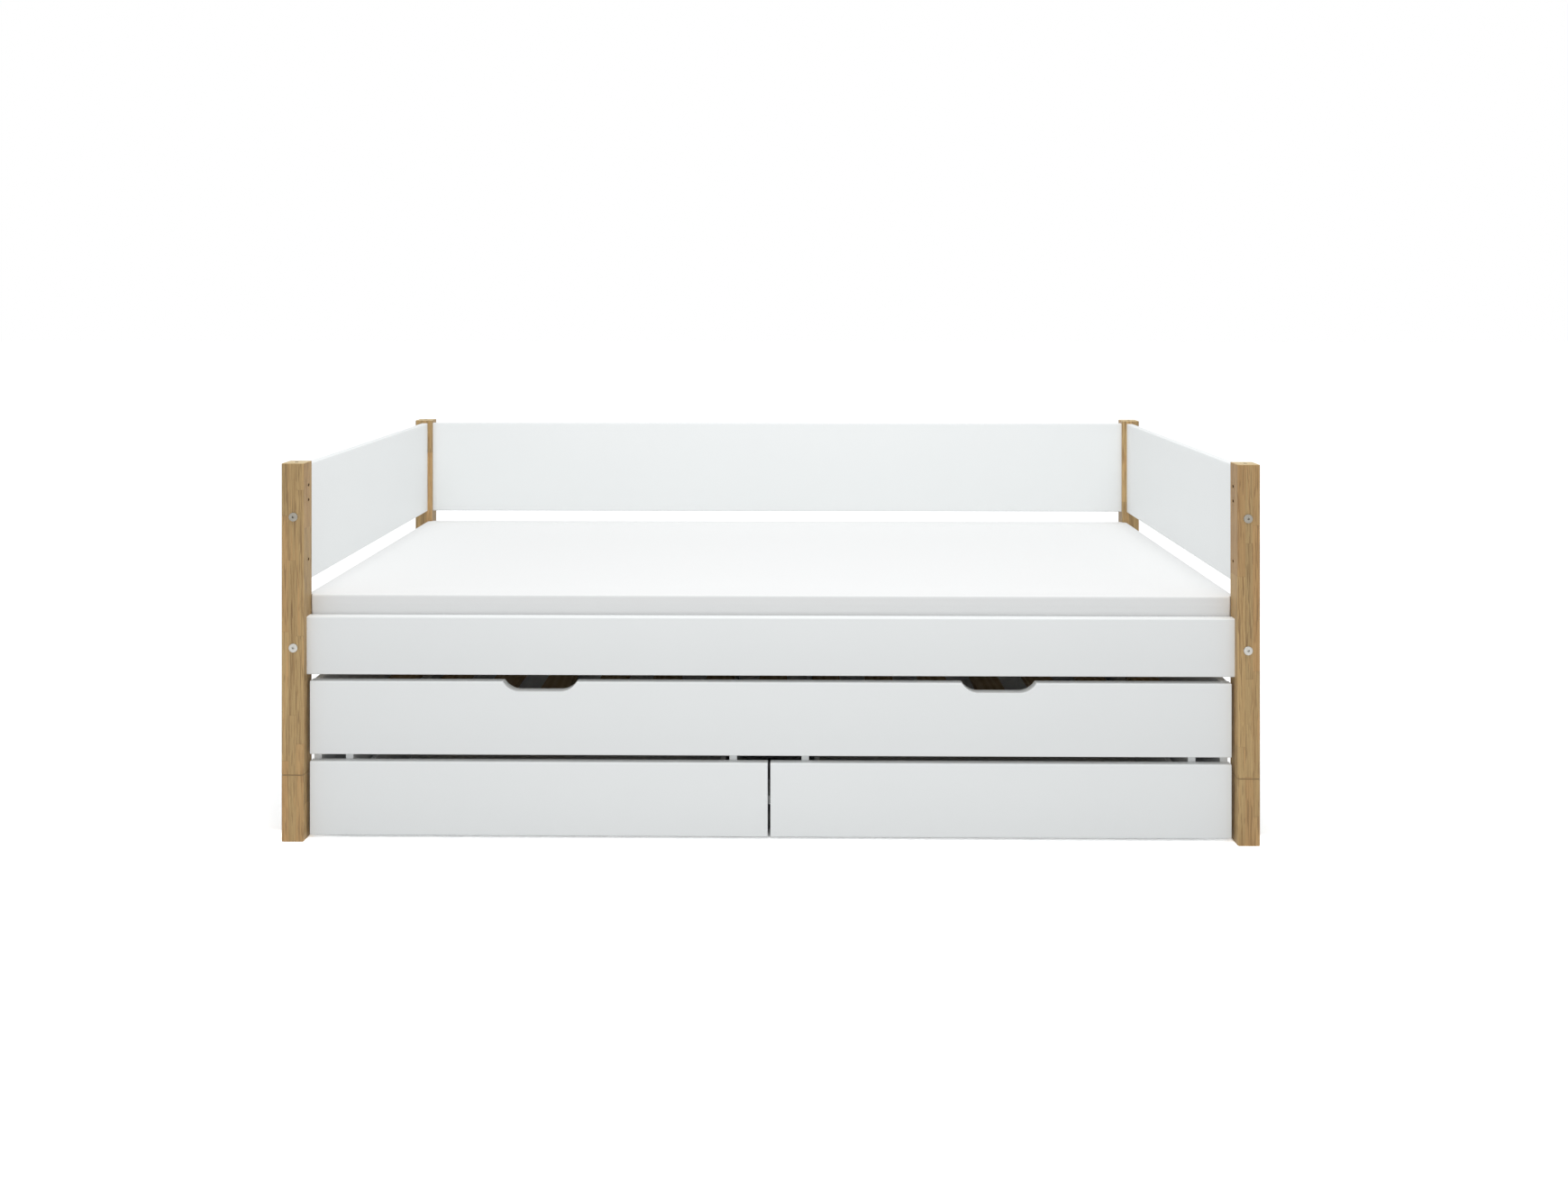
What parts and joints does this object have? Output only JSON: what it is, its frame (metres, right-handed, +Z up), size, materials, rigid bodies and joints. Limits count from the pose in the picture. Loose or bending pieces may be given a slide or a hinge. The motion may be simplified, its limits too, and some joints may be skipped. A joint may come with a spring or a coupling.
{
  "type": "storage daybed",
  "caption": "Single daybed with wooden corner posts, white rails and guards on three sides, a slatted base with mattress, a roll-out lower bed and drawers under it.",
  "frame": {"origin": "centre of the bed's footprint, on the floor", "axes": "+X along the bed to the right end as seen from the front, -Y towards the front with the drawers, +Z up"},
  "size_m": [2.0936, 0.9916, 0.81],
  "materials": {
    "white_lacquer": "satin white lacquer",
    "oiled_oak": "oiled finger-jointed solid wood",
    "slat_pine": "planed, bare",
    "dowel_beech": "fluted dowel, bare",
    "zinc_steel": "zinc plated",
    "runner_steel": "white powder coat",
    "roller_nylon": "moulded nylon",
    "wheel_plastic": "moulded, soft tread",
    "mattress_fabric": "plain white knitted ticking",
    "tape_webbing": "woven tape"
  },
  "bodies": {
    "bed_frame": {"back_guard": "white_lacquer", "back_left_leg": "oiled_oak", "back_left_post": "oiled_oak", "back_rail": "white_lacquer", "back_right_leg": "oiled_oak", "back_right_post": "oiled_oak", "barrel_nuts": "zinc_steel", "bed_slats": "slat_pine", "frame_bolts": "zinc_steel", "frame_dowels": "dowel_beech", "front_left_leg": "oiled_oak", "front_left_post": "oiled_oak", "front_rail": "white_lacquer", "front_right_leg": "oiled_oak", "front_right_post": "oiled_oak", "ledger_screws": "zinc_steel", "left_guard": "white_lacquer", "left_side_rail": "white_lacquer", "leg_studs": "zinc_steel", "right_guard": "white_lacquer", "right_side_rail": "white_lacquer", "slat_ledgers": "slat_pine", "slat_tapes": "tape_webbing"},
    "mattress": {"mattress": "mattress_fabric"},
    "pull_out_bed": {"cabinet_runners": "runner_steel", "castor_axles": "zinc_steel", "castor_blocks": "white_lacquer", "castor_housings": "zinc_steel", "castor_screws": "zinc_steel", "deck_boards": "white_lacquer", "left_inner_partition": "white_lacquer", "left_outer_partition": "white_lacquer", "pull_out_back": "white_lacquer", "pull_out_dowels": "dowel_beech", "pull_out_front": "white_lacquer", "pull_out_ledgers": "slat_pine", "pull_out_left_side": "white_lacquer", "pull_out_right_side": "white_lacquer", "pull_out_slats": "slat_pine", "right_inner_partition": "white_lacquer", "right_outer_partition": "white_lacquer"},
    "front_wheels": {"front_wheels": "wheel_plastic"},
    "back_wheels": {"back_wheels": "wheel_plastic"},
    "left_drawer": {"left_drawer_back": "white_lacquer", "left_drawer_bottom": "white_lacquer", "left_drawer_dowels": "dowel_beech", "left_drawer_front": "white_lacquer", "left_drawer_runners": "runner_steel", "left_drawer_sides": "white_lacquer"},
    "right_drawer": {"right_drawer_back": "white_lacquer", "right_drawer_bottom": "white_lacquer", "right_drawer_dowels": "dowel_beech", "right_drawer_front": "white_lacquer", "right_drawer_runners": "runner_steel", "right_drawer_sides": "white_lacquer"},
    "left_cabinet_rollers": {"left_cabinet_rollers": "roller_nylon"},
    "right_cabinet_rollers": {"right_cabinet_rollers": "roller_nylon"},
    "left_drawer_rollers": {"left_drawer_rollers": "roller_nylon"},
    "right_drawer_rollers": {"right_drawer_rollers": "roller_nylon"}
  },
  "joints": [
    {"name": "mattress_lift", "type": "slide", "parent": "bed_frame", "child": "mattress", "axis": [0, 0, 1], "range_m": [0, 0.3]},
    {"name": "pull_out_slide", "type": "slide", "parent": "bed_frame", "child": "pull_out_bed", "axis": [0, -1, 0], "range_m": [0, 0.93]},
    {"name": "front_wheels_roll", "type": "hinge", "parent": "pull_out_bed", "child": "front_wheels", "pos_m": [0, -0.4, 0.025], "axis": [1, 0, 0], "continuous": true},
    {"name": "back_wheels_roll", "type": "hinge", "parent": "pull_out_bed", "child": "back_wheels", "pos_m": [0, 0.4, 0.025], "axis": [1, 0, 0], "continuous": true},
    {"name": "left_drawer_slide", "type": "slide", "parent": "pull_out_bed", "child": "left_drawer", "axis": [0, -1, 0], "range_m": [0, 0.55]},
    {"name": "left_cabinet_rollers_turn", "type": "hinge", "parent": "pull_out_bed", "child": "left_cabinet_rollers", "pos_m": [-0.4945, -0.432, 0.0514], "axis": [1, 0, 0], "continuous": true},
    {"name": "left_drawer_rollers_turn", "type": "hinge", "parent": "left_drawer", "child": "left_drawer_rollers", "pos_m": [-0.4945, 0.237, 0.0501], "axis": [1, 0, 0], "continuous": true},
    {"name": "right_drawer_slide", "type": "slide", "parent": "pull_out_bed", "child": "right_drawer", "axis": [0, -1, 0], "range_m": [0, 0.55]},
    {"name": "right_cabinet_rollers_turn", "type": "hinge", "parent": "pull_out_bed", "child": "right_cabinet_rollers", "pos_m": [0.4945, -0.432, 0.0514], "axis": [1, 0, 0], "continuous": true},
    {"name": "right_drawer_rollers_turn", "type": "hinge", "parent": "right_drawer", "child": "right_drawer_rollers", "pos_m": [0.4945, 0.237, 0.0501], "axis": [1, 0, 0], "continuous": true}
  ],
  "couplings": [
    {"joint": "front_wheels_roll", "follows": "pull_out_slide", "rad_per_m": 40},
    {"joint": "back_wheels_roll", "follows": "pull_out_slide", "rad_per_m": 40},
    {"joint": "left_cabinet_rollers_turn", "follows": "left_drawer_slide", "rad_per_m": 100},
    {"joint": "left_drawer_rollers_turn", "follows": "left_drawer_slide", "rad_per_m": 100},
    {"joint": "right_cabinet_rollers_turn", "follows": "right_drawer_slide", "rad_per_m": 100},
    {"joint": "right_drawer_rollers_turn", "follows": "right_drawer_slide", "rad_per_m": 100}
  ]
}
